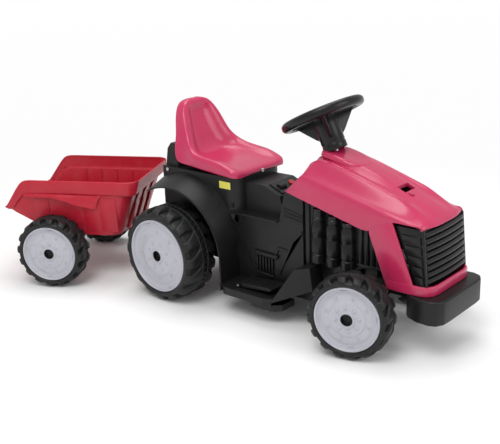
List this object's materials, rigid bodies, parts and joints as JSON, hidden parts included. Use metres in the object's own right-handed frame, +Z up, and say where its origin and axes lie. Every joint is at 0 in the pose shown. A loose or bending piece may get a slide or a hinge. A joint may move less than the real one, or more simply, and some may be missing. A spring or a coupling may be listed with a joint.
{
  "type": "ride-on toy tractor with trailer",
  "caption": "Battery ride-on toy tractor with steering front wheels, lift-off bucket seat, sprung foot pedal and a swinging open trailer.",
  "frame": {"origin": "middle of the model box on the ground, with the front wheels turned left and the trailer swung as stored", "axes": "+X towards the nose of the tractor, +Y to the rider's left, +Z up"},
  "size_m": [1.3628, 0.5964, 0.5434],
  "materials": {
    "black_body": "satin moulded",
    "magenta": "semi-gloss moulded",
    "red": "semi-gloss moulded",
    "black_gloss": "semi-gloss moulded",
    "tyre_plastic": "satin moulded",
    "rim_grey": "pale satin",
    "label": "printed film, blank",
    "steel": "zinc plated",
    "inner_plastic": "plain moulded",
    "switch_red": "moulded"
  },
  "bodies": {
    "tractor": {"axle_spacer": "inner_plastic", "battery": "inner_plastic", "battery_strap": "steel", "battery_tray": "inner_plastic", "body_screws": "steel", "bumper": "black_gloss", "charging_socket": "inner_plastic", "chassis_tray": "black_body", "engine_cover_left": "black_body", "engine_cover_right": "black_body", "front_axle_beam": "black_body", "gearbox": "inner_plastic", "grille": "black_gloss", "hitch_plate": "black_body", "hood": "magenta", "kingpins": "steel", "main_body": "black_body", "motor": "steel", "pedal_brackets": "black_body", "pedal_pin": "steel", "pedal_switch": "inner_plastic", "rear_axle": "steel", "rear_axle_nuts": "steel", "side_labels": "label", "steering_bush": "inner_plastic", "switch_cradle": "inner_plastic", "switch_plate": "black_body"},
    "steering": {"steering_wheel": "black_gloss", "steering_cap": "black_gloss", "steering_rod": "steel"},
    "horn": {"horn_button": "switch_red"},
    "knuckle_right": {"knuckle_right": "black_body", "front_axle_nut_right": "steel"},
    "knuckle_left": {"knuckle_left": "black_body", "front_axle_nut_left": "steel"},
    "track_rod": {"track_rod": "black_body"},
    "front_wheel_right": {"front_tyre_right": "tyre_plastic", "front_rim_right": "rim_grey"},
    "front_wheel_left": {"front_tyre_left": "tyre_plastic", "front_rim_left": "rim_grey"},
    "rear_wheel_right": {"rear_tyre_right": "tyre_plastic", "rear_rim_right": "rim_grey"},
    "rear_wheel_left": {"rear_tyre_left": "tyre_plastic", "rear_rim_left": "rim_grey", "drive_gear": "inner_plastic"},
    "trailer": {"trailer_tub": "red", "drawbar": "black_body", "trailer_axle": "steel", "trailer_axle_nuts": "steel", "trailer_spacers": "inner_plastic"},
    "trailer_wheel_right": {"trailer_tyre_right": "tyre_plastic", "trailer_rim_right": "rim_grey"},
    "trailer_wheel_left": {"trailer_tyre_left": "tyre_plastic", "trailer_rim_left": "rim_grey"},
    "hitch_pin": {"hitch_pin": "steel"},
    "seat": {"seat": "magenta", "seat_catch": "steel"},
    "pedal": {"foot_pedal": "black_body"},
    "rocker": {"direction_rocker": "black_body"},
    "power": {"power_button": "switch_red"}
  },
  "joints": [
    {"name": "steering_turn", "type": "hinge", "parent": "tractor", "child": "steering", "pos_m": [0.30343, 0.07209, 0.492], "axis": [-0.4384, 0, 0.8988], "range_deg": [-43.75, 6.25]},
    {"name": "horn_press", "type": "slide", "parent": "steering", "child": "horn", "axis": [0.4384, 0, -0.8988], "range_m": [0, 0.0015], "stiffness_N_per_m": 400, "springref_m": -0.002},
    {"name": "knuckle_right_turn", "type": "hinge", "parent": "tractor", "child": "knuckle_right", "pos_m": [0.48343, -0.03291, 0.097], "axis": [0, 0, 1], "range_deg": [-35.5, 5.5]},
    {"name": "front_wheel_right_spin", "type": "hinge", "parent": "knuckle_right", "child": "front_wheel_right", "pos_m": [0.50129, -0.09956, 0.097], "axis": [-0.2588, 0.9659, 0], "continuous": true},
    {"name": "knuckle_left_turn", "type": "hinge", "parent": "tractor", "child": "knuckle_left", "pos_m": [0.48343, 0.17709, 0.097], "axis": [0, 0, 1], "range_deg": [-35.5, 5.5]},
    {"name": "front_wheel_left_spin", "type": "hinge", "parent": "knuckle_left", "child": "front_wheel_left", "pos_m": [0.46557, 0.24374, 0.097], "axis": [-0.2588, 0.9659, 0], "continuous": true},
    {"name": "track_rod_slide", "type": "slide", "parent": "tractor", "child": "track_rod", "axis": [0, 1, 0], "range_m": [-0.00319, 0.02115]},
    {"name": "rear_wheel_right_spin", "type": "hinge", "parent": "tractor", "child": "rear_wheel_right", "pos_m": [-0.06857, -0.09241, 0.123], "axis": [0, 1, 0], "continuous": true},
    {"name": "rear_wheel_left_spin", "type": "hinge", "parent": "tractor", "child": "rear_wheel_left", "pos_m": [-0.06857, 0.23659, 0.123], "axis": [0, 1, 0], "continuous": true},
    {"name": "trailer_swing", "type": "hinge", "parent": "tractor", "child": "trailer", "pos_m": [-0.21357, 0.07209, 0.122], "axis": [0, 0, 1], "range_deg": [-60, 4]},
    {"name": "trailer_wheel_right_spin", "type": "hinge", "parent": "trailer", "child": "trailer_wheel_right", "pos_m": [-0.3886, -0.2271, 0.097], "axis": [-0.4695, 0.8829, 0], "continuous": true},
    {"name": "trailer_wheel_left_spin", "type": "hinge", "parent": "trailer", "child": "trailer_wheel_left", "pos_m": [-0.55948, 0.09429, 0.097], "axis": [-0.4695, 0.8829, 0], "continuous": true},
    {"name": "hitch_pin_lift", "type": "slide", "parent": "tractor", "child": "hitch_pin", "axis": [0, 0, 1], "range_m": [0, 0.045]},
    {"name": "seat_lift", "type": "slide", "parent": "tractor", "child": "seat", "axis": [0, 0, 1], "range_m": [0, 0.08]},
    {"name": "pedal_press", "type": "hinge", "parent": "tractor", "child": "pedal", "pos_m": [0.15343, -0.04991, 0.076], "axis": [0, 1, 0], "range_deg": [0, 5], "stiffness_Nm_per_rad": 1, "springref_deg": -17.19},
    {"name": "direction_rock", "type": "hinge", "parent": "tractor", "child": "rocker", "pos_m": [0.19181, 0.05209, 0.30292], "axis": [0, 1, 0], "range_deg": [-9, 9]},
    {"name": "power_press", "type": "slide", "parent": "tractor", "child": "power", "axis": [-0.3846, 0, -0.9231], "range_m": [0, 0.002], "stiffness_N_per_m": 300, "springref_m": -0.003}
  ],
  "couplings": [
    {"joint": "knuckle_right_turn", "follows": "steering_turn", "ratio": 0.8},
    {"joint": "knuckle_left_turn", "follows": "steering_turn", "ratio": 0.8},
    {"joint": "track_rod_slide", "follows": "steering_turn", "m_per_rad": -0.027435}
  ]
}
